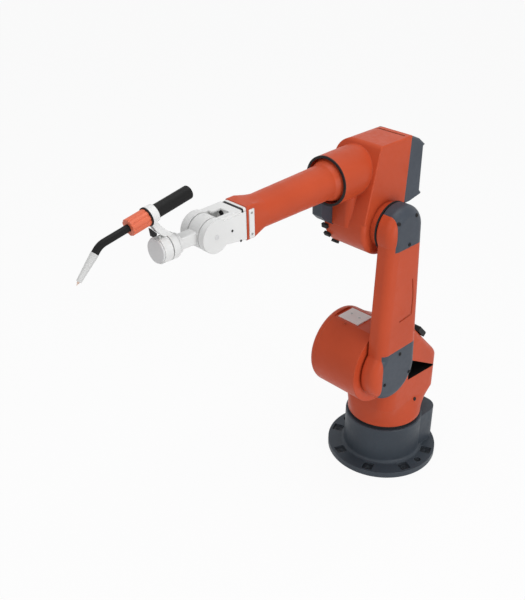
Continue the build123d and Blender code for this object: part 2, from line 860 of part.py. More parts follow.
# Elbow hub that carries the housing on the upper arm
with BuildPart() as elbow_hub:
    with BuildSketch(side(arm_far - hub_gap)):
        with Locations((elbow_x, elbow_z)):
            Circle(elbow_hub_radius)
    extrude(amount=arm_far - hub_gap - housing_near)
    with BuildSketch(side(arm_far - hub_gap)):
        with Locations((elbow_x, elbow_z)):
            Circle(elbow_hub_radius)
            Circle(elbow_hub_radius - elbow_hub_step, mode=Mode.SUBTRACT)
    extrude(amount=elbow_hub_seat, mode=Mode.SUBTRACT)
    with BuildSketch(side(arm_far + elbow_pin_depth)):
        with Locations((elbow_x, elbow_z)):
            Circle(elbow_pin_radius)
    extrude(amount=elbow_pin_depth + hub_gap)
finish(elbow_hub.part, "elbow_hub")

# Round cap on the far side of the elbow drum
with BuildPart() as elbow_drum_cap:
    with BuildSketch(side(-housing_far)):
        with Locations((elbow_x, elbow_z)):
            Circle(drum_cap_radius)
    extrude(amount=elbow_cap_thickness)
    fillet(elbow_drum_cap.edges().group_by(Axis.Y)[0], elbow_cap_round)
finish(elbow_drum_cap.part, "elbow_drum_cap")

# Dark cover in the corner under the sleeve
with BuildPart() as sleeve_under_cover:
    with BuildSketch(beside(under_cover_near)):
        with BuildLine():
            Polyline(
                (under_cover_start, 0),
                (under_cover_end, 0),
                (under_cover_end, -under_cover_drop + under_cover_round),
                (under_cover_end - under_cover_round, -under_cover_drop),
                (under_cover_start, -under_cover_drop - under_cover_fall),
                close=True,
            )
        make_face()
    extrude(amount=under_cover_near + under_cover_far)
    with BuildSketch(along(0)):
        Circle(sleeve_radius)
    extrude(amount=sleeve_length, mode=Mode.SUBTRACT)
    add(elbow_housing.part, mode=Mode.SUBTRACT)
finish(sleeve_under_cover.part, "sleeve_under_cover")

# Black cable clamps on the front of the elbow drum
clamp_names = ["upper_cable_clamp", "middle_cable_clamp", "lower_cable_clamp"]
for angle, clamp_name in zip(clamp_angles, clamp_names):
    turn = radians(angle)
    outward = (cos(turn), 0, sin(turn))
    seat_x = elbow_x + (elbow_drum_radius - clamp_seat) * cos(turn)
    seat_z = elbow_z + (elbow_drum_radius - clamp_seat) * sin(turn)
    clamp_y = clamp_inset - housing_far
    clamp_plane = Plane(origin=(seat_x, clamp_y, seat_z), x_dir=(0, 1, 0), z_dir=outward)
    with BuildPart() as cable_clamp:
        with BuildSketch(clamp_plane):
            Rectangle(clamp_width, clamp_length)
        extrude(amount=clamp_height)
        with BuildSketch(side(housing_near)):
            with Locations((elbow_x, elbow_z)):
                Circle(elbow_drum_radius)
        extrude(amount=housing_width, mode=Mode.SUBTRACT)
    finish(cable_clamp.part, clamp_name)

# Forearm tube that flares into the square wrist block
with BuildPart() as forearm_tube:
    with BuildSketch(beside(0)):
        with BuildLine():
            Polyline(
                (roll_pin_start + hub_gap, 0),
                (roll_pin_start + hub_gap, roll_pin_radius),
                (tube_root, roll_pin_radius),
                (tube_root, tube_root_radius),
                (tube_root + tube_root_length, tube_root_radius),
                (tube_neck, tube_neck_radius),
                (tube_end, tube_end_radius),
                (tube_end, 0),
                close=True,
            )
        make_face()
    revolve(axis=Axis(roll_origin, roll_direction))
    with BuildSketch(along(tube_end)):
        Circle(tube_end_radius)
    with BuildSketch(along(block_start)):
        RectangleRounded(2 * block_half_width, 2 * block_half_height, block_round)
    loft()
    with BuildSketch(along(block_start)):
        RectangleRounded(2 * block_half_width, 2 * block_half_height, block_round)
    extrude(amount=block_end - block_start)
finish(forearm_tube.part, "forearm_tube")

# Pale strips on both sides of the wrist block
with BuildPart() as near_side_strip:
    with BuildSketch(beside(block_half_width + strip_thickness)):
        with Locations((strip_along, -strip_drop)):
            RectangleRounded(strip_width, strip_length, strip_round)
    extrude(amount=strip_thickness)
finish(near_side_strip.part, "near_side_strip")

with BuildPart() as far_side_strip:
    with BuildSketch(beside(-block_half_width)):
        with Locations((strip_along, -strip_drop)):
            RectangleRounded(strip_width, strip_length, strip_round)
    extrude(amount=strip_thickness)
finish(far_side_strip.part, "far_side_strip")

# Pale plate between the forearm and the wrist
with BuildPart() as wrist_adapter_plate:
    with BuildSketch(along(block_end)):
        adapter_width = 2 * (block_half_width - adapter_inset)
        adapter_height = 2 * (block_half_height - adapter_inset)
        RectangleRounded(adapter_width, adapter_height, block_round)
    extrude(amount=adapter_thickness)
finish(wrist_adapter_plate.part, "wrist_adapter_plate")

# Dark spacer that leaves the recessed gap behind the wrist
with BuildPart() as wrist_spacer:
    with BuildSketch(along(adapter_end)):
        gap_width = 2 * (block_half_width - wrist_gap_inset)
        gap_height = 2 * (block_half_height - wrist_gap_inset)
        RectangleRounded(gap_width, gap_height, block_round)
    extrude(amount=wrist_gap_length)
finish(wrist_spacer.part, "wrist_spacer")

# Fork that holds the wrist drum, waisted at its lower edge
with BuildPart() as wrist_fork:
    with BuildSketch(beside(fork_half_width)):
        with Locations((wrist_centre, wrist_rise)):
            Circle(fork_end_radius)
        with BuildLine():
            Polyline(
                (fork_start, fork_top),
                (wrist_centre, fork_top),
                (wrist_centre, wrist_rise),
                (wrist_centre - fork_waist_back, -fork_waist),
                (fork_start, -fork_low),
                close=True,
            )
        make_face()
    extrude(amount=2 * fork_half_width)
    slot_middle = (fork_slot_near - fork_slot_far) / 2
    slot_width = fork_slot_near + fork_slot_far
    slot_height = 2 * fork_end_radius
    with BuildSketch(along(fork_slot_start)):
        with Locations((slot_middle, fork_top - fork_lid_thickness - slot_height)):
            Rectangle(slot_width, 2 * slot_height)
    extrude(amount=wrist_centre, mode=Mode.SUBTRACT)
    window_middle = (fork_slot_near - fork_window_far) / 2
    with BuildSketch(along(fork_slot_start)):
        with Locations((window_middle, fork_top)):
            Rectangle(fork_slot_near + fork_window_far, slot_height)
    extrude(amount=wrist_centre, mode=Mode.SUBTRACT)
    with BuildSketch(along(fork_lid_end)):
        with Locations((slot_middle, fork_top)):
            Rectangle(slot_width, slot_height)
    extrude(amount=wrist_centre, mode=Mode.SUBTRACT)
    with BuildSketch(beside(wrist_pin_half + hub_gap)):
        with Locations((wrist_centre, wrist_rise)):
            Circle(wrist_pin_radius + pin_clearance)
    extrude(amount=2 * (wrist_pin_half + hub_gap), mode=Mode.SUBTRACT)
finish(wrist_fork.part, "wrist_fork")

# Flat covers on both cheeks of the fork
with BuildPart() as near_cheek_cover:
    with BuildSketch(beside(fork_half_width + fork_cover_depth)):
        with Locations((wrist_centre, wrist_rise)):
            Circle(fork_end_radius)
        with BuildLine():
            Polyline(
                (block_end + fork_cover_start, fork_cover_top),
                (wrist_centre, fork_cover_top),
                (wrist_centre, wrist_rise),
                (wrist_centre - fork_waist_back, -fork_waist),
                (block_end + fork_cover_start, -fork_low),
                close=True,
            )
        make_face()
    extrude(amount=fork_cover_depth)
finish(near_cheek_cover.part, "near_cheek_cover")

with BuildPart() as far_cheek_cover:
    with BuildSketch(beside(-fork_half_width)):
        with Locations((wrist_centre, wrist_rise)):
            Circle(fork_end_radius)
        with BuildLine():
            Polyline(
                (fork_start, fork_cover_top),
                (wrist_centre, fork_cover_top),
                (wrist_centre, wrist_rise),
                (wrist_centre - fork_waist_back, -fork_waist),
                (fork_start, -fork_low),
                close=True,
            )
        make_face()
    extrude(amount=fork_cover_depth)
finish(far_cheek_cover.part, "far_cheek_cover")

# Wrist drum that bends between the cheeks, with its bosses and pins
with BuildPart() as wrist_drum:
    with BuildSketch(beside(wrist_drum_near)):
        with Locations((wrist_centre, wrist_rise)):
            Circle(wrist_drum_radius)
    extrude(amount=wrist_drum_near + wrist_drum_far)
    with BuildSketch(beside(wrist_boss_near)):
        with Locations((wrist_centre, wrist_rise)):
            Circle(wrist_boss_radius)
    extrude(amount=wrist_boss_near + wrist_boss_far)
    with BuildSketch(beside(wrist_pin_half)):
        with Locations((wrist_centre, wrist_rise)):
            Circle(wrist_pin_radius)
    extrude(amount=2 * wrist_pin_half)
finish(wrist_drum.part, "wrist_drum")

# Square neck in front of the wrist drum
with BuildPart() as wrist_neck:
    with BuildSketch(along_tool(0)):
        RectangleRounded(2 * neck_half_width, 2 * neck_half_height, neck_edge)
    extrude(amount=neck_length)
    with BuildSketch(beside_tool(neck_half_width)):
        Circle(wrist_drum_radius)
    extrude(amount=2 * neck_half_width, mode=Mode.SUBTRACT)
    with BuildSketch(along_tool(neck_length)):
        Circle(flange_pin_radius + pin_clearance)
    extrude(amount=-flange_pin_depth - hub_gap, mode=Mode.SUBTRACT)
finish(wrist_neck.part, "wrist_neck")

# Turning flange at the end of the wrist
with BuildPart() as tool_flange:
    with BuildSketch(along_tool(neck_length + hub_gap)):
        Circle(output_radius)
    extrude(amount=output_length - hub_gap)
    with BuildSketch(along_tool(neck_length + hub_gap)):
        Circle(flange_pin_radius)
    extrude(amount=-flange_pin_depth)
finish(tool_flange.part, "tool_flange")

# Black insulating ring between the flange and the holder
with BuildPart() as insulating_ring:
    with BuildSketch(along_tool(insulator_start)):
        Circle(insulator_radius)
    extrude(amount=insulator_length)
finish(insulating_ring.part, "insulating_ring")

# Torch holder with its swept arm and the ring round the torch
with BuildPart() as torch_holder:
    with BuildSketch(along_tool(holder_start)):
        Circle(holder_radius)
    extrude(amount=holder_thickness)
    with BuildSketch(beside_tool(holder_arm_half)):
        with BuildLine():
            low_side = Spline(
                (holder_end, holder_radius - arm_low_drop),
                (holder_end + arm_low_reach, holder_radius + arm_low_rise),
                (ring_along + clamp_half_width / 2, ring_up - torch_tube_radius),
            )
            top_side = Spline(
                (ring_along - clamp_half_width, ring_up - torch_tube_radius),
                (holder_end + arm_top_reach, holder_radius + arm_top_rise),
                (holder_start, holder_radius - holder_edge),
            )
            Line(low_side @ 1, top_side @ 0)
            Line(top_side @ 1, (holder_start, holder_radius - holder_arm_width))
            Line((holder_start, holder_radius - holder_arm_width), low_side @ 0)
        make_face()
    extrude(amount=2 * holder_arm_half)
    with BuildSketch(along_tool(holder_end)):
        Circle(mount_radius + hub_gap)
    extrude(amount=mount_end, mode=Mode.SUBTRACT)
    with BuildSketch(across_torch(clamp_centre - clamp_half_width)):
        Circle(clamp_outer_radius)
    extrude(amount=2 * clamp_half_width)
    with BuildSketch(across_torch(0)):
        Circle(torch_tube_radius)
    extrude(amount=torch_tube_length, mode=Mode.SUBTRACT)
finish(torch_holder.part, "torch_holder")

# Round mounting body in front of the holder
with BuildPart() as tool_mount_body:
    with BuildSketch(along_tool(holder_end)):
        Circle(mount_neck_radius)
    extrude(amount=mount_gap)
    with BuildSketch(along_tool(holder_end + mount_gap)):
        Circle(mount_radius)
    extrude(amount=mount_end - holder_end - mount_gap)
finish(tool_mount_body.part, "tool_mount_body")

# Grey end disc of the mounting body
with BuildPart() as tool_mount_disc:
    with BuildSketch(along_tool(mount_end)):
        Circle(mount_cap_radius)
    extrude(amount=mount_cap_length)
finish(tool_mount_disc.part, "tool_mount_disc")

# Black rear tube of the torch with its cable inlet
with BuildPart() as torch_rear_tube:
    with BuildSketch(across_torch(0)):
        Circle(torch_tube_radius)
    extrude(amount=torch_tube_length)
    fillet(torch_rear_tube.edges().group_by(Axis.X)[0], torch_tube_round)
    with BuildSketch(across_torch(0)):
        Circle(torch_tube_bore)
    extrude(amount=torch_bore_depth, mode=Mode.SUBTRACT)
finish(torch_rear_tube.part, "torch_rear_tube")

# Black rim behind the insulated body
with BuildPart() as torch_rim:
    with BuildSketch(across_torch(rim_start)):
        Circle(rim_radius)
    extrude(amount=rim_length)
finish(torch_rim.part, "torch_rim")

# Fluted insulated body of the torch
with BuildPart() as torch_body:
    with BuildSketch(across_torch(body_start)):
        Circle(torch_body_radius)
        with PolarLocations(torch_body_radius + flute_radius / 2, flute_count):
            Circle(flute_radius, mode=Mode.SUBTRACT)
    extrude(amount=torch_body_end - body_start)
    with BuildSketch(across_torch(torch_body_end)):
        Circle(neck_radius)
    extrude(amount=neck_start - torch_body_end, mode=Mode.SUBTRACT)
finish(torch_body.part, "torch_body")

# Bent black neck of the torch
with BuildPart() as torch_neck:
    with BuildLine(beside_torch(0)) as neck_line:
        straight = Line((neck_start, 0), (neck_straight_end, 0))
        bend = JernArc(straight @ 1, straight % 1, neck_bend_radius, -neck_bend_angle)
        tail = PolarLine(bend @ 1, neck_tail, direction=bend % 1)
    with BuildSketch(across_torch(neck_start)):
        Circle(neck_radius)
    sweep(path=neck_line.line)
finish(torch_neck.part, "torch_neck")

# Conical gas nozzle
nozzle_plane = Plane(origin=neck_line.line @ 1, z_dir=neck_line.line % 1)
with BuildPart() as gas_nozzle:
    with BuildSketch(nozzle_plane):
        Circle(nozzle_root_radius)
    with BuildSketch(nozzle_plane.offset(nozzle_length)):
        Circle(nozzle_tip_radius)
    loft()
    with BuildSketch(nozzle_plane.offset(nozzle_length)):
        Circle(nozzle_tip_radius - nozzle_wall)
    extrude(amount=-nozzle_cavity, mode=Mode.SUBTRACT)
finish(gas_nozzle.part, "gas_nozzle")

# Contact tip inside the nozzle
with BuildPart() as contact_tip:
    with BuildSketch(nozzle_plane.offset(nozzle_length - nozzle_cavity)):
        Circle(tip_radius)
    extrude(amount=nozzle_cavity + tip_reach / 2)
    with BuildSketch(nozzle_plane.offset(nozzle_length + tip_reach / 2)):
        Circle(tip_radius / 3)
    extrude(amount=tip_reach / 2)
finish(contact_tip.part, "contact_tip")
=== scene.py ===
import json
from math import cos, pi, radians, sin

import bmesh
import bpy
from mathutils import Matrix, Vector


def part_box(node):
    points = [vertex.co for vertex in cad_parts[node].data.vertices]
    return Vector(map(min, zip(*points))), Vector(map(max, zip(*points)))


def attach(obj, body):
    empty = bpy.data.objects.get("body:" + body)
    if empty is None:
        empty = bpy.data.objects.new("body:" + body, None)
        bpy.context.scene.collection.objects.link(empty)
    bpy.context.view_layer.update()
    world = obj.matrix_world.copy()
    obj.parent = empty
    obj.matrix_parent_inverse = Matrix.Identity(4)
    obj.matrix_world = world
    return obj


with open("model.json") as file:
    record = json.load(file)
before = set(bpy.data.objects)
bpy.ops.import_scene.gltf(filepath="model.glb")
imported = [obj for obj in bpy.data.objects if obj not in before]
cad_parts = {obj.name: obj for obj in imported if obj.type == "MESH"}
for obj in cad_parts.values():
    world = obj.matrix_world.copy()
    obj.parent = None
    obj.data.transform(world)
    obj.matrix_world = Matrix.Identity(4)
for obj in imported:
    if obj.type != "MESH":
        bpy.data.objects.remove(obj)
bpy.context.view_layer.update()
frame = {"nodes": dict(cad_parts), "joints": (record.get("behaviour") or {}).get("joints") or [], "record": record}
nodes = frame["nodes"]
bpy.ops.object.select_all(action="DESELECT")


# Camera
# The view of the photograph: from the front and the near side, above the elbow, with a
# medium lens. Its frame is 525 by 600, so the sensor's 36 mm lie along the height.
camera_place = (2.600, 1.880, 2.550)
camera_tilt = radians(60.38)
camera_heading = radians(135.58)
camera_data = bpy.data.cameras.new("photo_camera")
camera_data.lens = 52.5
camera_data.sensor_width = 36
camera_data.clip_end = 60
camera = bpy.data.objects.new("photo_camera", camera_data)
camera.location = camera_place
camera.rotation_euler = (camera_tilt, 0, camera_heading)
bpy.context.scene.collection.objects.link(camera)
bpy.context.scene.camera = camera
bpy.context.scene.view_settings.view_transform = "Standard"


# Floor and studio light
# A wide white floor under the robot that keeps a faint shadow, large soft lamps beside and
# above it, a weaker one in front, and a pale room. The camera and all gloss see plain white.
floor_width = 40
floor_drop = 0.0005
floor_glow_share = 0.92


def background_share(tree):
    rays = tree.nodes.new("ShaderNodeLightPath")
    share = rays.outputs["Is Camera Ray"]
    for ray in ("Is Glossy Ray", "Is Transmission Ray"):
        either = tree.nodes.new("ShaderNodeMath")
        either.operation = "MAXIMUM"
        tree.links.new(share, either.inputs[0])
        tree.links.new(rays.outputs[ray], either.inputs[1])
        share = either.outputs[0]
    return share


bpy.ops.mesh.primitive_plane_add(size=floor_width, location=(0, 0, -floor_drop))
floor = bpy.context.object
floor.name = "studio_floor"
floor_white = bpy.data.materials.new("floor_white")
floor_white.use_nodes = True
tree = floor_white.node_tree
tree.nodes.clear()
out = tree.nodes.new("ShaderNodeOutputMaterial")
lit = tree.nodes.new("ShaderNodeBsdfDiffuse")
lit.inputs["Color"].default_value = (0.9, 0.9, 0.9, 1)
glow = tree.nodes.new("ShaderNodeEmission")
glow.inputs["Color"].default_value = (1, 1, 1, 1)
glow.inputs["Strength"].default_value = 1.0
share = tree.nodes.new("ShaderNodeMath")
share.operation = "MULTIPLY"
share.inputs[1].default_value = floor_glow_share
mixed = tree.nodes.new("ShaderNodeMixShader")
tree.links.new(background_share(tree), share.inputs[0])
tree.links.new(share.outputs[0], mixed.inputs[0])
tree.links.new(lit.outputs[0], mixed.inputs[1])
tree.links.new(glow.outputs[0], mixed.inputs[2])
tree.links.new(mixed.outputs[0], out.inputs["Surface"])
floor.data.materials.append(floor_white)

room = bpy.data.worlds.new("studio_room")
room.use_nodes = True
bpy.context.scene.world = room
tree = room.node_tree
tree.nodes.clear()
out = tree.nodes.new("ShaderNodeOutputWorld")
seen = tree.nodes.new("ShaderNodeBackground")
seen.inputs["Color"].default_value = (1, 1, 1, 1)
seen.inputs["Strength"].default_value = 1.0
ambient = tree.nodes.new("ShaderNodeBackground")
ambient.inputs["Color"].default_value = (0.97, 0.98, 1, 1)
ambient.inputs["Strength"].default_value = 0.40
mixed = tree.nodes.new("ShaderNodeMixShader")
tree.links.new(background_share(tree), mixed.inputs[0])
tree.links.new(ambient.outputs[0], mixed.inputs[1])
tree.links.new(seen.outputs[0], mixed.inputs[2])
tree.links.new(mixed.outputs[0], out.inputs["Surface"])

for lamp_name, place, aim, size, power in (
    ("near_side_lamp", (0.7, 5.2, 1.3), (0.4, 0, 0.8), 3.0, 116),
    ("front_lamp", (4.6, 0.6, 3.4), (0.4, 0, 0.9), 2.6, 40),
    ("top_lamp", (0.4, 0.4, 5.4), (0.4, 0, 0.9), 3.0, 88),
):
    lamp_data = bpy.data.lights.new(lamp_name, "AREA")
    lamp_data.size = size
    lamp_data.energy = power
    lamp = bpy.data.objects.new(lamp_name, lamp_data)
    lamp.location = place
    lamp.rotation_euler = (Vector(aim) - Vector(place)).to_track_quat("-Z", "Y").to_euler()
    bpy.context.scene.collection.objects.link(lamp)


# Base casting
# Grey cast iron foot with its bolting flange and rear connection box, sprayed with satin
# dark grey paint that is rubbed thin along the machined edges and spot faces.
def make_group(name, inputs, outputs):
    group = bpy.data.node_groups.new(name, "ShaderNodeTree")
    for socket_name, kind, value in inputs:
        socket = group.interface.new_socket(socket_name, in_out="INPUT", socket_type=kind)
        socket.default_value = value
    for socket_name, kind in outputs:
        group.interface.new_socket(socket_name, in_out="OUTPUT", socket_type=kind)
    return group, group.nodes.new("NodeGroupInput"), group.nodes.new("NodeGroupOutput")


def noise_of(tree, place, scale, detail, rough=0.5):
    noise = tree.nodes.new("ShaderNodeTexNoise")
    noise.inputs["Scale"].default_value = scale
    noise.inputs["Detail"].default_value = detail
    noise.inputs["Roughness"].default_value = rough
    tree.links.new(place, noise.inputs["Vector"])
    return noise.outputs["Fac"]


def spread(tree, value, low, high, new_low, new_high):
    step = tree.nodes.new("ShaderNodeMapRange")
    step.inputs["From Min"].default_value = low
    step.inputs["From Max"].default_value = high
    step.inputs["To Min"].default_value = new_low
    step.inputs["To Max"].default_value = new_high
    tree.links.new(value, step.inputs["Value"])
    return step.outputs["Result"]


def combine(tree, how, first, second):
    node = tree.nodes.new("ShaderNodeMath")
    node.operation = how
    for slot_number, value in enumerate((first, second)):
        if isinstance(value, (int, float)):
            node.inputs[slot_number].default_value = value
        else:
            tree.links.new(value, node.inputs[slot_number])
    return node.outputs[0]


def blend_colours(tree, amount, first, second):
    first_colour, second_colour, blended = 6, 7, 2
    node = tree.nodes.new("ShaderNodeMix")
    node.data_type = "RGBA"
    if isinstance(amount, (int, float)):
        node.inputs[0].default_value = amount
    else:
        tree.links.new(amount, node.inputs[0])
    for slot_number, value in ((first_colour, first), (second_colour, second)):
        if isinstance(value, tuple):
            node.inputs[slot_number].default_value = value
        else:
            tree.links.new(value, node.inputs[slot_number])
    return node.outputs[blended]


edge_wear, given, result = make_group(
    "edge_wear",
    [("Edge Width", "NodeSocketFloat", 0.003), ("Patch Size", "NodeSocketFloat", 30.0)],
    [("Edge", "NodeSocketFloat"), ("Normal", "NodeSocketVector")],
)
soft_edge = edge_wear.nodes.new("ShaderNodeBevel")
soft_edge.samples = 6
edge_wear.links.new(given.outputs["Edge Width"], soft_edge.inputs["Radius"])
plain = edge_wear.nodes.new("ShaderNodeNewGeometry")
turned = edge_wear.nodes.new("ShaderNodeVectorMath")
turned.operation = "DOT_PRODUCT"
edge_wear.links.new(soft_edge.outputs["Normal"], turned.inputs[0])
edge_wear.links.new(plain.outputs["Normal"], turned.inputs[1])
place = edge_wear.nodes.new("ShaderNodeTexCoord").outputs["Object"]
patches = edge_wear.nodes.new("ShaderNodeTexNoise")
patches.inputs["Detail"].default_value = 3
edge_wear.links.new(place, patches.inputs["Vector"])
edge_wear.links.new(given.outputs["Patch Size"], patches.inputs["Scale"])
sharp = spread(edge_wear, turned.outputs["Value"], low=0.995, high=0.86, new_low=0, new_high=1)
broken = spread(edge_wear, patches.outputs["Fac"], low=0.42, high=0.62, new_low=0.15, new_high=1)
edge_wear.links.new(combine(edge_wear, "MULTIPLY", sharp, broken), result.inputs["Edge"])
edge_wear.links.new(soft_edge.outputs["Normal"], result.inputs["Normal"])

smudge_most = 0.35
wear_polish = 0.12
grain_share = 0.4
skin_height = 0.0006
sprayed_coat, given, result = make_group(
    "sprayed_coat",
    [
        ("Paint", "NodeSocketColor", (0.5, 0.5, 0.5, 1)),
        ("Shade", "NodeSocketColor", (0.4, 0.4, 0.4, 1)),
        ("Worn", "NodeSocketColor", (0.7, 0.7, 0.7, 1)),
        ("Edge", "NodeSocketFloat", 0.0),
        ("Edge Strength", "NodeSocketFloat", 0.4),
        ("Plain Roughness", "NodeSocketFloat", 0.4),
        ("Peel", "NodeSocketFloat", 0.2),
        ("Normal", "NodeSocketVector", (0, 0, 0)),
    ],
    [("Color", "NodeSocketColor"), ("Roughness", "NodeSocketFloat"), ("Normal", "NodeSocketVector")],
)
place = sprayed_coat.nodes.new("ShaderNodeTexCoord").outputs["Object"]
cloud = noise_of(sprayed_coat, place, scale=4.0, detail=4)
cloud = spread(sprayed_coat, cloud, low=0.35, high=0.7, new_low=0, new_high=1)
smudge = noise_of(sprayed_coat, place, scale=22.0, detail=5, rough=0.6)
smudge = spread(sprayed_coat, smudge, low=0.45, high=0.75, new_low=0, new_high=smudge_most)
darker = combine(sprayed_coat, "MAXIMUM", cloud, smudge)
coat_colour = blend_colours(sprayed_coat, darker, given.outputs["Paint"], given.outputs["Shade"])
wear = combine(sprayed_coat, "MULTIPLY", given.outputs["Edge"], given.outputs["Edge Strength"])
coat_colour = blend_colours(sprayed_coat, wear, coat_colour, given.outputs["Worn"])
sprayed_coat.links.new(coat_colour, result.inputs["Color"])
uneven = noise_of(sprayed_coat, place, scale=60.0, detail=4)
uneven = spread(sprayed_coat, uneven, low=0.3, high=0.7, new_low=-0.05, new_high=0.06)
rub = spread(sprayed_coat, smudge, low=0, high=smudge_most, new_low=0, new_high=0.08)
rough = combine(sprayed_coat, "ADD", given.outputs["Plain Roughness"], uneven)
rough = combine(sprayed_coat, "ADD", rough, rub)
rough = combine(sprayed_coat, "SUBTRACT", rough, combine(sprayed_coat, "MULTIPLY", wear, wear_polish))
sprayed_coat.links.new(rough, result.inputs["Roughness"])
grain = noise_of(sprayed_coat, place, scale=420.0, detail=2)
ripple = noise_of(sprayed_coat, place, scale=130.0, detail=2)
skin = combine(sprayed_coat, "ADD", combine(sprayed_coat, "MULTIPLY", grain, grain_share), ripple)
bump = sprayed_coat.nodes.new("ShaderNodeBump")
bump.inputs["Distance"].default_value = skin_height
sprayed_coat.links.new(given.outputs["Peel"], bump.inputs["Strength"])
sprayed_coat.links.new(skin, bump.inputs["Height"])
sprayed_coat.links.new(given.outputs["Normal"], bump.inputs["Normal"])
sprayed_coat.links.new(bump.outputs["Normal"], result.inputs["Normal"])


def painted(name, paint, shade, worn, rough, peel, edge_width, edge_strength, metal=0.0, shine=0.25):
    material = bpy.data.materials.new(name)
    material.use_nodes = True
    tree = material.node_tree
    shader = tree.nodes["Principled BSDF"]
    shader.inputs["Metallic"].default_value = metal
    shader.inputs["Specular IOR Level"].default_value = shine
    edge = tree.nodes.new("ShaderNodeGroup")
    edge.node_tree = edge_wear
    edge.inputs["Edge Width"].default_value = edge_width
    coat = tree.nodes.new("ShaderNodeGroup")
    coat.node_tree = sprayed_coat
    coat.inputs["Paint"].default_value = (*paint, 1)
    coat.inputs["Shade"].default_value = (*shade, 1)
    coat.inputs["Worn"].default_value = (*worn, 1)
    coat.inputs["Plain Roughness"].default_value = rough
    coat.inputs["Peel"].default_value = peel
    coat.inputs["Edge Strength"].default_value = edge_strength
    tree.links.new(edge.outputs["Edge"], coat.inputs["Edge"])
    tree.links.new(edge.outputs["Normal"], coat.inputs["Normal"])
    tree.links.new(coat.outputs["Color"], shader.inputs["Base Color"])
    tree.links.new(coat.outputs["Roughness"], shader.inputs["Roughness"])
    tree.links.new(coat.outputs["Normal"], shader.inputs["Normal"])
    return material


def finish_node(node_name, material):
    mesh = nodes[node_name].data
    mesh.materials.clear()
    mesh.materials.append(material)


base_coat = dict(
    paint=(0.048, 0.060, 0.075), shade=(0.037, 0.046, 0.058), worn=(0.14, 0.16, 0.18),
    rough=0.46, peel=0.3, edge_width=0.0035, edge_strength=0.35,
)
base_grey = painted("base_grey", **base_coat)
finish_node("base_socket_plate", base_grey)


# Flange pockets
# The floors of the square pockets round the base flange are darkened with painted shade,
# where they lie in shadow. The bolts are stated at half the height of those floors.
# Paints shade into a box of the object's own space, on upward faces only if asked.
def paint_shade_inside(material, lowest, highest, tint, only_floors=False, ceiling_slope=0, ceiling=1):
    floor_uprightness = 0.9
    tree = material.node_tree
    shader = tree.nodes["Principled BSDF"]
    place = tree.nodes.new("ShaderNodeTexCoord").outputs["Object"]
    parts = tree.nodes.new("ShaderNodeSeparateXYZ")
    tree.links.new(place, parts.inputs[0])
    inside = 1.0
    for axis_number in range(3):
        level = parts.outputs[axis_number]
        above = combine(tree, "GREATER_THAN", level, lowest[axis_number])
        below = combine(tree, "LESS_THAN", level, highest[axis_number])
        inside = combine(tree, "MULTIPLY", inside, combine(tree, "MULTIPLY", above, below))
    climb = combine(tree, "MULTIPLY", parts.outputs[0], ceiling_slope)
    under_ceiling = combine(tree, "LESS_THAN", combine(tree, "SUBTRACT", parts.outputs[2], climb), ceiling)
    inside = combine(tree, "MULTIPLY", inside, under_ceiling)
    if only_floors:
        upright = tree.nodes.new("ShaderNodeSeparateXYZ")
        tree.links.new(tree.nodes.new("ShaderNodeNewGeometry").outputs["Normal"], upright.inputs[0])
        faces_up = combine(tree, "GREATER_THAN", upright.outputs[2], floor_uprightness)
        inside = combine(tree, "MULTIPLY", inside, faces_up)
    coat_colour = shader.inputs["Base Color"].links[0].from_socket
    tree.links.new(blend_colours(tree, inside, coat_colour, (*tint, 1)), shader.inputs["Base Color"])


pocket_shaded_grey = painted("pocket_shaded_grey", **base_coat)
mounts = {mount["name"]: mount for mount in frame["record"]["mounts"]}
pocket_floor = 2 * mounts["base_bolts"]["pos_m"][2]
pocket_allowance = 0.0006
base_underside = 0.001
# Painted shade for the pocket floors, which lie in shadow.
pocket_shade_dark = (0.020, 0.024, 0.030)
flange_low, flange_high = (-1, -1, base_underside), (1, 1, pocket_floor + pocket_allowance)
paint_shade_inside(pocket_shaded_grey, flange_low, flange_high, pocket_shade_dark, only_floors=True)
finish_node("base_casting", pocket_shaded_grey)


# Socket plate screws
# Four zinc-plated hexagon socket screws that hold the socket plate on the back of the
# base, each turned from a round bar with a broached hexagon in its head.
facing_up = 0.9
smooth_angle = radians(40)


def pick_faces(piece, wanted):
    bpy.ops.object.select_all(action="DESELECT")
    bpy.context.view_layer.objects.active = piece
    piece.select_set(True)
    bpy.ops.object.mode_set(mode="EDIT")
    bpy.ops.mesh.select_mode(type="FACE")
    bpy.ops.mesh.select_all(action="DESELECT")
    form = bmesh.from_edit_mesh(piece.data)
    for face in form.faces:
        face.select_set(bool(wanted(face)))
    bmesh.update_edit_mesh(piece.data)


def turned_bar(radius, height, sides):
    bpy.ops.object.select_all(action="DESELECT")
    bpy.ops.mesh.primitive_cylinder_add(
        vertices=sides, radius=radius, depth=height, location=(0, 0, height / 2)
    )
    bpy.ops.object.transform_apply(location=True)
    return bpy.context.object


def screw_model(radius, head, key_radius, key_depth, rim):
    model = turned_bar(radius, head, sides=24)
    pick_faces(model, lambda face: face.normal.z > facing_up)
    bpy.ops.mesh.bevel(offset=rim, segments=2, affect="EDGES")
    bpy.ops.object.mode_set(mode="OBJECT")
    bpy.ops.mesh.primitive_cylinder_add(
        vertices=6, radius=key_radius, depth=2 * key_depth, location=(0, 0, head)
    )
    key = bpy.context.object
    socket = model.modifiers.new("socket", "BOOLEAN")
    socket.operation = "DIFFERENCE"
    socket.object = key
    bpy.context.view_layer.objects.active = model
    bpy.ops.object.modifier_apply(modifier="socket")
    bpy.data.objects.remove(key)
    bpy.ops.object.select_all(action="DESELECT")
    model.select_set(True)
    bpy.ops.object.shade_smooth_by_angle(angle=smooth_angle)
    return model


def set_on(model, name, point, outward, body, material):
    piece = model.copy()
    piece.data = model.data.copy()
    piece.name = name
    bpy.context.scene.collection.objects.link(piece)
    turn = Vector(outward).to_track_quat("Z", "Y").to_matrix().to_4x4()
    piece.data.transform(Matrix.Translation(Vector(point)) @ turn)
    piece.data.materials.clear()
    piece.data.materials.append(material)
    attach(piece, body)


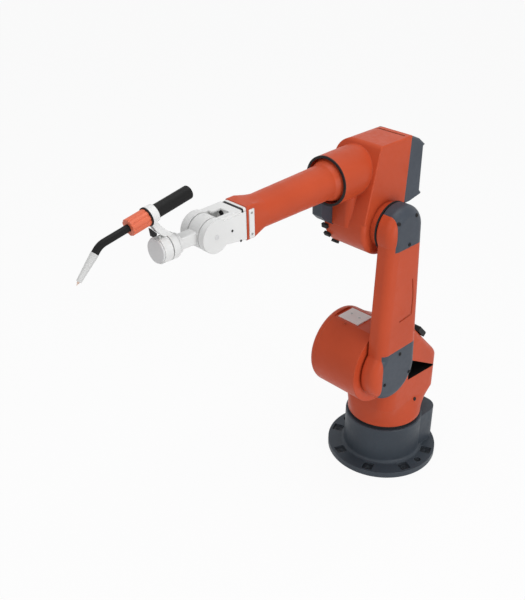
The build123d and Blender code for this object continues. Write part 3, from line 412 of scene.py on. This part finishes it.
def surface_point(node_name, start, direction):
    found, point, outward, _ = nodes[node_name].ray_cast(Vector(start), Vector(direction).normalized())
    if not found:
        raise RuntimeError("nothing to sit on at " + node_name)
    return point, outward


zinc_steel = painted(
    "zinc_steel",
    paint=(0.42, 0.42, 0.41), shade=(0.32, 0.32, 0.31), worn=(0.62, 0.62, 0.60),
    rough=0.34, peel=0.15, edge_width=0.0006, edge_strength=0.4, metal=0.7,
)
plate_low, plate_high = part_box("base_socket_plate")
plate_screw_inset = 0.011
well_behind = -1.0
forward = (1, 0, 0)
plate_screw = screw_model(radius=0.0062, head=0.0045, key_radius=0.0032, key_depth=0.0026, rim=0.0007)
plate_corners = [
    (side_y, level)
    for side_y in (plate_low[1] + plate_screw_inset, plate_high[1] - plate_screw_inset)
    for level in (plate_low[2] + plate_screw_inset, plate_high[2] - plate_screw_inset)
]
for number, (side_y, level) in enumerate(plate_corners, 1):
    point, outward = surface_point("base_socket_plate", (well_behind, side_y, level), forward)
    set_on(plate_screw, f"socket_plate_screw_{number}", point, outward, "base", zinc_steel)
bpy.data.objects.remove(plate_screw)


# Lead sockets
# Two round plug sockets of black glass-filled plastic on the back of the base, moulded
# with a fine matt texture.
socket_black = painted(
    "socket_black",
    paint=(0.028, 0.028, 0.030), shade=(0.020, 0.020, 0.022), worn=(0.08, 0.08, 0.08),
    rough=0.55, peel=0.5, edge_width=0.0012, edge_strength=0.4, shine=0.12,
)
finish_node("motor_socket", socket_black)
finish_node("signal_socket", socket_black)


# Socket contact blocks
# A grey moulded insulator deep in each lead socket with a ring of gold-plated contact
# pins round a middle one, pressed in from behind.
insulator_grey = painted(
    "insulator_grey",
    paint=(0.17, 0.17, 0.165), shade=(0.13, 0.13, 0.125), worn=(0.25, 0.25, 0.24),
    rough=0.6, peel=0.3, edge_width=0.0006, edge_strength=0.3,
)
contact_gold = painted(
    "contact_gold",
    paint=(0.72, 0.50, 0.20), shade=(0.62, 0.42, 0.16), worn=(0.82, 0.62, 0.32),
    rough=0.3, peel=0.1, edge_width=0.0003, edge_strength=0.3, metal=0.9,
)
insulator_radius = 0.0175
insulator_height = 0.005
insulator_rim = 0.0022
insulator_dish = 0.0012
insulator_ledge = 0.0006
contact_radius = 0.0013
contact_length = 0.006
contact_rounding = 0.0005
contact_lift = 0.0035
contact_ring = 0.010
contact_count = 7
block_model = turned_bar(insulator_radius, insulator_height, sides=40)
pick_faces(block_model, lambda face: face.normal.z > facing_up)
bpy.ops.mesh.inset(thickness=insulator_rim)
bpy.ops.mesh.extrude_region_move(TRANSFORM_OT_translate={"value": (0, 0, -insulator_dish)})
bpy.ops.mesh.inset(thickness=insulator_ledge)
bpy.ops.object.mode_set(mode="OBJECT")
contact_model = turned_bar(contact_radius, contact_length, sides=12)
pick_faces(contact_model, lambda face: face.normal.z > facing_up)
bpy.ops.mesh.bevel(offset=contact_rounding, segments=2, affect="EDGES")
bpy.ops.object.mode_set(mode="OBJECT")
for socket_name in ("motor_socket", "signal_socket"):
    socket_low, socket_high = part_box(socket_name)
    middle_y = (socket_low[1] + socket_high[1]) / 2
    middle_z = (socket_low[2] + socket_high[2]) / 2
    point, outward = surface_point(socket_name, (well_behind, middle_y, middle_z), forward)
    set_on(block_model, f"{socket_name}_contacts", point, outward, "base", insulator_grey)
    for number in range(contact_count):
        turn = 2 * pi * number / (contact_count - 1)
        reach = contact_ring if number < contact_count - 1 else 0
        spot = point + Vector((-contact_lift, reach * cos(turn), reach * sin(turn)))
        pin_name = f"{socket_name}_pin_{number + 1}"
        set_on(contact_model, pin_name, spot, outward, "base", contact_gold)
bpy.data.objects.remove(block_model)
bpy.data.objects.remove(contact_model)


# Seal ring
# Black rubber lip ring between the base and the turning carousel, dull and slightly
# dusty, pressed into its seat on top of the base.
# This black also serves as painted shade in the elbow gap ring and the housing seam strip.
rubber_and_gap_shade = painted(
    "rubber_and_gap_shade",
    paint=(0.016, 0.016, 0.017), shade=(0.026, 0.026, 0.026), worn=(0.05, 0.05, 0.05),
    rough=0.68, peel=0.3, edge_width=0.001, edge_strength=0.3, shine=0.12,
)
finish_node("base_seal_ring", rubber_and_gap_shade)


# Carousel and shoulder drum
# Orange sprayed castings that turn on the base: the round column, the sloping rear body
# and the thick drum of the shoulder with its rounded end cap and bearing hub.
orange_coat = dict(
    paint=(0.545, 0.076, 0.026), shade=(0.475, 0.064, 0.021), worn=(0.66, 0.18, 0.095),
    rough=0.42, peel=0.25, edge_width=0.004, edge_strength=0.35, shine=0.2,
)
robot_orange = painted("robot_orange", **orange_coat)
for name in ("shoulder_drum_cap", "shoulder_hub"):
    finish_node(name, robot_orange)


# Cable recess
# The opening under the shoulder, where cables pass the column, is painted nearly black
# inside as painted shade. The shaded zone's upper edge climbs towards the upper arm.
recess_shaded_orange = painted("recess_shaded_orange", **orange_coat)
# Painted shade: the colour inside the recess box, darkened where the recess lies in shadow.
recess_shade_black = (0.012, 0.011, 0.011)
recess_low, recess_high = (-0.1650, 0.0590, 0.4185), (0.0305, 0.1335, 0.5310)
paint_shade_inside(recess_shaded_orange, recess_low, recess_high, recess_shade_black, ceiling_slope=0.58, ceiling=0.5145)
finish_node("carousel_casting", recess_shaded_orange)


# Casting plugs
# Two caps pressed into holes: a black one on the flank of the column, painted shade where
# that hole lies in shadow, and one on the shoulder drum, sprayed over with the casting.
flat_top = 0.99
plug_smooth_angle = radians(35)


def plug_model(radius, height, dish):
    edge_share = 0.4
    rim_share = 0.3
    model = turned_bar(radius, height, sides=32)
    pick_faces(model, lambda face: face.normal.z > facing_up)
    bpy.ops.mesh.bevel(offset=height * edge_share, segments=3, affect="EDGES")
    bpy.ops.object.mode_set(mode="OBJECT")
    pick_faces(model, lambda face: face.normal.z > flat_top)
    bpy.ops.mesh.inset(thickness=radius * rim_share)
    bpy.ops.mesh.extrude_region_move(TRANSFORM_OT_translate={"value": (0, 0, -dish)})
    bpy.ops.object.mode_set(mode="OBJECT")
    bpy.ops.object.select_all(action="DESELECT")
    model.select_set(True)
    bpy.ops.object.shade_smooth_by_angle(angle=plug_smooth_angle)
    return model


# This black also serves as painted shade for holes: on the column, in the fork's web and in the cheek covers.
black_plug_and_hole_shade = painted(
    "black_plug_and_hole_shade",
    paint=(0.020, 0.020, 0.021), shade=(0.030, 0.030, 0.030), worn=(0.07, 0.07, 0.07),
    rough=0.55, peel=0.3, edge_width=0.0008, edge_strength=0.3, shine=0.12,
)
well_beside = 0.6
to_far_side, to_near_side = (0, -1, 0), (0, 1, 0)
# Painted shade: a black cap standing in for the shadow in a hole on the column.
column_shade_cap = plug_model(radius=0.0085, height=0.003, dish=0.0012)
column_hole_shade_place = (-0.0306, well_beside, 0.3027)
point, outward = surface_point("carousel_casting", column_hole_shade_place, to_far_side)
set_on(column_shade_cap, "column_hole_shade", point, outward, "carousel", black_plug_and_hole_shade)
bpy.data.objects.remove(column_shade_cap)
drum_cap = plug_model(radius=0.0065, height=0.0012, dish=0.0007)
drum_plug_place = (0.2987, -0.0035, 0.7604)
drum_plug_outward = (0.0657, 0, 0.1514)
start = Vector(drum_plug_place) + Vector(drum_plug_outward)
point, outward = surface_point("carousel_casting", start, -Vector(drum_plug_outward))
set_on(drum_cap, "drum_plug", point, outward, "carousel", robot_orange)
bpy.data.objects.remove(drum_cap)


# Shoulder cap screws
# Six button-headed screws painted over with the casting, round the cap on the far end of
# the shoulder drum.
cap_screw = screw_model(radius=0.0085, head=0.005, key_radius=0.0038, key_depth=0.003, rim=0.0016)
cap_low, cap_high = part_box("shoulder_drum_cap")
cap_screw_circle = 0.135
cap_screw_count = 6
cap_x = (cap_low[0] + cap_high[0]) / 2
cap_z = (cap_low[2] + cap_high[2]) / 2
for number in range(cap_screw_count):
    turn = 2 * pi * (number + 0.5) / cap_screw_count
    start = (cap_x + cap_screw_circle * cos(turn), -well_beside, cap_z + cap_screw_circle * sin(turn))
    point, outward = surface_point("shoulder_drum_cap", start, to_near_side)
    name = f"shoulder_cap_screw_{number + 1}"
    set_on(cap_screw, name, point, outward, "carousel", robot_orange)


# Crown plate
# Bare light alloy plate screwed on the flat of the shoulder drum, milled and faintly
# stained from handling.
bare_alloy = painted(
    "bare_alloy",
    paint=(0.84, 0.80, 0.78), shade=(0.76, 0.72, 0.70), worn=(0.88, 0.87, 0.86),
    rough=0.45, peel=0.15, edge_width=0.001, edge_strength=0.3,
)
finish_node("crown_plate", bare_alloy)


# Crown plate screws
# Two flat-headed zinc-plated screws that hold the crown plate, standing just proud of
# its face.
crown_screw_places = ((0.2268, -0.0292), (0.2324, 0.0146))
well_above = 2
down = (0, 0, -1)
crown_screw = screw_model(radius=0.0052, head=0.0012, key_radius=0.0026, key_depth=0.0011, rim=0.0003)
for number, (along_x, side_y) in enumerate(crown_screw_places, 1):
    point, outward = surface_point("crown_plate", (along_x, side_y, well_above), down)
    set_on(crown_screw, f"crown_screw_{number}", point, outward, "carousel", zinc_steel)
bpy.data.objects.remove(crown_screw)


# Cable block
# Black plastic block that is screwed on the slope behind the upper arm and passes the
# cables there.
# This black also serves as painted shade on the insulating ring and the wrist spacer.
black_plastic_and_gap_shade = painted(
    "black_plastic_and_gap_shade",
    paint=(0.018, 0.018, 0.019), shade=(0.028, 0.028, 0.028), worn=(0.07, 0.07, 0.07),
    rough=0.5, peel=0.4, edge_width=0.0012, edge_strength=0.35, shine=0.12,
)
finish_node("cable_block", black_plastic_and_gap_shade)


# Upper arm
# Orange casting with two dark grey bolted covers, one over each bearing, sprayed like
# the base.
finish_node("upper_arm_casting", robot_orange)
cover_grey = painted(
    "cover_grey",
    paint=(0.054, 0.065, 0.083), shade=(0.044, 0.053, 0.068), worn=(0.15, 0.17, 0.19),
    rough=0.44, peel=0.2, edge_width=0.002, edge_strength=0.35,
)
finish_node("shoulder_cover", cover_grey)
finish_node("elbow_cover", cover_grey)


# Cover screws
# Blackened socket screws that hold the two covers on the upper arm, three on each. Their
# spots are measured from the middle of the joint that the cover closes.
joints = {joint["name"]: joint for joint in frame["joints"]}


def joint_place(joint_name):
    along_x, _, rise = joints[joint_name]["pos_m"]
    return Vector((along_x, 0, rise))


screw_black = painted(
    "screw_black",
    paint=(0.012, 0.012, 0.013), shade=(0.020, 0.020, 0.020), worn=(0.06, 0.06, 0.06),
    rough=0.45, peel=0.2, edge_width=0.0006, edge_strength=0.4, shine=0.12,
)
cover_screw = screw_model(radius=0.0075, head=0.0025, key_radius=0.0038, key_depth=0.0022, rim=0.0006)
shoulder_place = joint_place("shoulder_swing")
elbow_place = joint_place("elbow_swing")
elbow_cover_spots = ((0.058, 0.050), (-0.039, 0.056), (-0.010, -0.050))
shoulder_cover_spots = ((-0.013, 0.076), (0.070, -0.031), (-0.085, -0.040))
for cover, centre, spots in (
    ("elbow_cover", elbow_place, elbow_cover_spots),
    ("shoulder_cover", shoulder_place, shoulder_cover_spots),
):
    for number, (along_x, rise) in enumerate(spots, 1):
        start = centre + Vector((along_x, well_beside, rise))
        point, outward = surface_point(cover, start, to_far_side)
        name = f"{cover}_screw_{number}"
        set_on(cover_screw, name, point, outward, "upper_arm", screw_black)


# Elbow housing
# Orange casting with the elbow drum and the sleeve that carries the forearm, a dark grey
# motor cover behind, a grey cover below the sleeve and a black ring at its mouth.
for name in ("elbow_housing", "elbow_hub", "elbow_drum_cap"):
    finish_node(name, robot_orange)
finish_node("elbow_motor_cover", cover_grey)
finish_node("sleeve_under_cover", cover_grey)
finish_node("sleeve_ring", black_plastic_and_gap_shade)
for name in ("upper_cable_clamp", "middle_cable_clamp", "lower_cable_clamp"):
    finish_node(name, black_plastic_and_gap_shade)


# Elbow gap shade
# Black ring of painted shade that fills the step between the elbow hub and the upper arm,
# where the gap lies in shadow, and turns with the elbow.
# Painted shade: a black ring that stands in for the shadow in the gap.
elbow_shade_ring_inner = 0.0725
elbow_shade_ring_outer = 0.0960
elbow_shade_ring_near = 0.1391
elbow_shade_ring_width = 0.0062
elbow_shade_ring_rounding = 0.0014


def round_edges(piece, width):
    rounding = piece.modifiers.new("rounding", "BEVEL")
    rounding.width = width
    rounding.segments = 3
    rounding.limit_method = "ANGLE"
    bpy.ops.object.modifier_apply(modifier="rounding")
    bpy.ops.object.shade_smooth_by_angle(angle=smooth_angle)


bpy.ops.object.select_all(action="DESELECT")
bpy.ops.mesh.primitive_cylinder_add(
    vertices=96,
    radius=elbow_shade_ring_outer,
    depth=elbow_shade_ring_width,
    end_fill_type="NOTHING",
    location=(elbow_place.x, elbow_shade_ring_near - elbow_shade_ring_width / 2, elbow_place.z),
    rotation=(radians(90), 0, 0),
)
elbow_shade_ring = bpy.context.object
elbow_shade_ring.name = "elbow_shade_ring"
bpy.ops.object.transform_apply(location=True, rotation=True)
wall = elbow_shade_ring.modifiers.new("wall", "SOLIDIFY")
wall.thickness = elbow_shade_ring_outer - elbow_shade_ring_inner
wall.offset = -1
bpy.ops.object.modifier_apply(modifier="wall")
round_edges(elbow_shade_ring, elbow_shade_ring_rounding)
elbow_shade_ring.data.materials.append(rubber_and_gap_shade)
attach(elbow_shade_ring, "elbow")


# Housing seam shade
# Black strip of painted shade laid in the groove across the top of the elbow housing, where
# its lid meets the motor end, with rounded flanks and its crown just below the paint.
def extruded_block(name, ring, push):
    bpy.ops.object.select_all(action="DESELECT")
    bpy.ops.mesh.primitive_plane_add(size=1)
    piece = bpy.context.object
    piece.name = name
    for corner, place in zip((0, 1, 3, 2), ring):
        piece.data.vertices[corner].co = place
    bpy.ops.object.mode_set(mode="EDIT")
    bpy.ops.mesh.select_all(action="SELECT")
    bpy.ops.mesh.extrude_region_move(TRANSFORM_OT_translate={"value": push})
    bpy.ops.mesh.select_all(action="SELECT")
    bpy.ops.mesh.normals_make_consistent(inside=False)
    bpy.ops.object.mode_set(mode="OBJECT")
    return piece


housing_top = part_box("elbow_housing")[1][2]
seam_back = 0.098
seam_half_width = 0.0034
seam_height = 0.005
seam_far = -0.030
seam_near = 0.0915
seam_depth = 0.0068
seam_rounding = 0.0012
seam_x = elbow_place.x - seam_back
seam_corners = [
    (seam_x + across * seam_half_width, side_y, housing_top - seam_depth)
    for across, side_y in ((-1, seam_far), (1, seam_far), (1, seam_near), (-1, seam_near))
]
# Painted shade for the groove, which lies in shadow.
seam_shade_strip = extruded_block("housing_seam_shade_strip", seam_corners, push=(0, 0, seam_height))
round_edges(seam_shade_strip, seam_rounding)
seam_shade_strip.data.materials.append(rubber_and_gap_shade)
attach(seam_shade_strip, "elbow")


# Elbow cap screws
# Six of the painted button-headed screws in a ring on the cap at the far end of the
# elbow drum.
elbow_cap_circle = 0.078
for number in range(cap_screw_count):
    turn = 2 * pi * number / cap_screw_count
    ring_spot = Vector((elbow_cap_circle * cos(turn), -well_beside, elbow_cap_circle * sin(turn)))
    point, outward = surface_point("elbow_drum_cap", elbow_place + ring_spot, to_near_side)
    name = f"elbow_cap_screw_{number + 1}"
    set_on(cap_screw, name, point, outward, "elbow", robot_orange)
bpy.data.objects.remove(cap_screw)


# Motor cover screws
# Four blackened screws, like those of the arm's covers, through the recessed back of the
# motor cover.
motor_low, motor_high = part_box("elbow_motor_cover")
motor_screw_side = 0.030
motor_screw_drop = 0.095
motor_screw_rise = 0.045
motor_screw_spots = [
    (side_y, level)
    for side_y in (motor_low[1] + motor_screw_side, motor_high[1] - motor_screw_side)
    for level in (motor_low[2] + motor_screw_rise, motor_high[2] - motor_screw_drop)
]
for number, (side_y, level) in enumerate(motor_screw_spots, 1):
    point, outward = surface_point("elbow_motor_cover", (well_behind, side_y, level), forward)
    name = f"motor_cover_screw_{number}"
    set_on(cover_screw, name, point, outward, "elbow", screw_black)


# Forearm
# Orange tube that flares into a square block for the wrist, with pale strips screwed on
# both sides of the block.
finish_node("forearm_tube", robot_orange)
pale_metal = painted(
    "pale_metal",
    paint=(0.80, 0.80, 0.79), shade=(0.74, 0.74, 0.73), worn=(0.88, 0.88, 0.87),
    rough=0.38, peel=0.15, edge_width=0.002, edge_strength=0.3,
)
for name in ("near_side_strip", "far_side_strip", "wrist_adapter_plate"):
    finish_node(name, pale_metal)
# Painted shade: the spacer's black stands in for the shadow in the gap between adapter plate and fork.
finish_node("wrist_spacer", black_plastic_and_gap_shade)


# Strip screws
# Two zinc-plated screws through each pale strip on the sides of the wrist block. Places
# on the forearm are given along its axis and above it, from its point over the elbow.
forearm_start = joint_place("forearm_roll")
forearm_ahead = Vector(joints["forearm_roll"]["axis"])
forearm_up = Vector((-forearm_ahead.z, 0, forearm_ahead.x))
sides = (("near", 1), ("far", -1))
strip_screw_along = 0.6225
strip_screw_rises = (0.034, -0.040)


def forearm_point(along, rise, side_y):
    return forearm_start + along * forearm_ahead + rise * forearm_up + Vector((0, side_y, 0))


strip_screw = screw_model(radius=0.0042, head=0.0012, key_radius=0.0022, key_depth=0.001, rim=0.0003)
for side_name, side in sides:
    for number, rise in enumerate(strip_screw_rises, 1):
        start = forearm_point(strip_screw_along, rise, well_beside * side)
        point, outward = surface_point(f"{side_name}_side_strip", start, (0, -side, 0))
        name = f"{side_name}_strip_screw_{number}"
        set_on(strip_screw, name, point, outward, "forearm", zinc_steel)
bpy.data.objects.remove(strip_screw)


# Wrist
# Pale sprayed fork with flat covers on both cheeks, and the drum that bends between them
# with its neck and the tool flange.
fork_nodes = ("wrist_fork", "near_cheek_cover", "far_cheek_cover")
bending_nodes = ("wrist_drum", "wrist_neck", "tool_flange")
for name in (*fork_nodes, *bending_nodes):
    finish_node(name, pale_metal)


# Fork web hole shade
# Black cap of painted shade in the rear wall of the fork's window, where the hole for the
# wrist's wires from the forearm lies in shadow.
web_hole_shade = plug_model(radius=0.0095, height=0.003, dish=0.0015)
window_middle = 0.745
web_hole_shade_rise = 0.040
web_hole_shade_side = -0.006
start = forearm_point(window_middle, web_hole_shade_rise, web_hole_shade_side)
point, outward = surface_point("wrist_fork", start, -forearm_ahead)
set_on(web_hole_shade, "fork_web_hole_shade", point, outward, "forearm", black_plug_and_hole_shade)
bpy.data.objects.remove(web_hole_shade)


# Wrist cheek caps
# A pale cap over each end of the wrist's pin, and beside it in each cheek cover a black plug,
# painted shade for a hole there, and a black screw.
disc_grey = painted(
    "disc_grey",
    paint=(0.72, 0.72, 0.72), shade=(0.67, 0.67, 0.67), worn=(0.78, 0.78, 0.78),
    rough=0.45, peel=0.15, edge_width=0.001, edge_strength=0.2,
)
pin_cap = plug_model(radius=0.008, height=0.0022, dish=0.0006)
cheek_plug = plug_model(radius=0.0042, height=0.0012, dish=0.0005)
for side_name, side in sides:
    # The black plug is painted shade for a hole that lies in shadow.
    for piece_name, model, along, rise, slot, material in (
        ("pin_cap", pin_cap, 0.773, 0.0024, "pale_metal", disc_grey),
        ("plug", cheek_plug, 0.709, 0.002, "black_plastic", black_plug_and_hole_shade),
        ("screw", cheek_plug, 0.674, -0.045, "black_plastic", black_plug_and_hole_shade),
    ):
        start = forearm_point(along, rise, well_beside * side)
        point, outward = surface_point(f"{side_name}_cheek_cover", start, (0, -side, 0))
        set_on(model, f"{side_name}_cheek_{piece_name}", point, outward, "forearm", material)
bpy.data.objects.remove(pin_cap)
bpy.data.objects.remove(cheek_plug)
bpy.data.objects.remove(cover_screw)


# Torch holder
# Pale swept arm on the tool flange that clamps the torch, with a round mounting body, a
# grey end disc and a black insulating ring, also painted shade for the gap at the flange.
finish_node("torch_holder", pale_metal)
finish_node("tool_mount_body", pale_metal)
finish_node("tool_mount_disc", disc_grey)
# Painted shade: the ring's black stands in for the shadow in the gap at the flange.
finish_node("insulating_ring", black_plastic_and_gap_shade)


# Torch clamp
# Black moulded lug that closes the holder's ring round the torch from below, drawn tight by
# one pale clamping screw beside it. Its outline is measured from the middle of the wrist.
wrist_centre = joint_place("wrist_bend")
lug_outline = ((0.211, 0.081), (0.189, 0.058), (0.192, 0.050), (0.206, 0.051))
lug_half_width = 0.007
lug_rounding = 0.0015
lug_corners = [
    wrist_centre + Vector((along_x, -lug_half_width, rise)) for along_x, rise in lug_outline
]
clamp_lug = extruded_block("torch_clamp_lug", lug_corners, push=(0, 2 * lug_half_width, 0))
round_edges(clamp_lug, lug_rounding)
clamp_lug.data.materials.append(black_plastic_and_gap_shade)
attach(clamp_lug, "tool")

up = (0, 0, 1)
clamp_screw_place = wrist_centre + Vector((0.185, 0.011, 0.034))
clamp_screw = screw_model(radius=0.0035, head=0.018, key_radius=0.0018, key_depth=0.003, rim=0.0006)
set_on(clamp_screw, "torch_clamp_screw", clamp_screw_place, up, "tool", zinc_steel)
bpy.data.objects.remove(clamp_screw)


# Welding torch
# Black rear tube and bent neck, a fluted orange insulated body, and a bare conical gas
# nozzle round a copper contact tip.
torch_black = painted(
    "torch_black",
    paint=(0.012, 0.012, 0.012), shade=(0.009, 0.009, 0.009), worn=(0.05, 0.05, 0.05),
    rough=0.5, peel=0.3, edge_width=0.0012, edge_strength=0.35, shine=0.12,
)
for name in ("torch_rear_tube", "torch_rim", "torch_neck"):
    finish_node(name, torch_black)
torch_orange = painted(
    "torch_orange",
    paint=(0.76, 0.17, 0.085), shade=(0.66, 0.14, 0.07), worn=(0.86, 0.35, 0.22),
    rough=0.4, peel=0.2, edge_width=0.0015, edge_strength=0.35,
)
finish_node("torch_body", torch_orange)
nozzle_metal = painted(
    "nozzle_metal",
    paint=(0.70, 0.70, 0.69), shade=(0.58, 0.58, 0.57), worn=(0.82, 0.82, 0.81),
    rough=0.42, peel=0.1, edge_width=0.001, edge_strength=0.3,
)
finish_node("gas_nozzle", nozzle_metal)
tip_copper = painted(
    "tip_copper",
    paint=(0.66, 0.50, 0.42), shade=(0.5, 0.36, 0.29), worn=(0.85, 0.68, 0.58),
    rough=0.38, peel=0.15, edge_width=0.0005, edge_strength=0.3, metal=0.3,
)
finish_node("contact_tip", tip_copper)
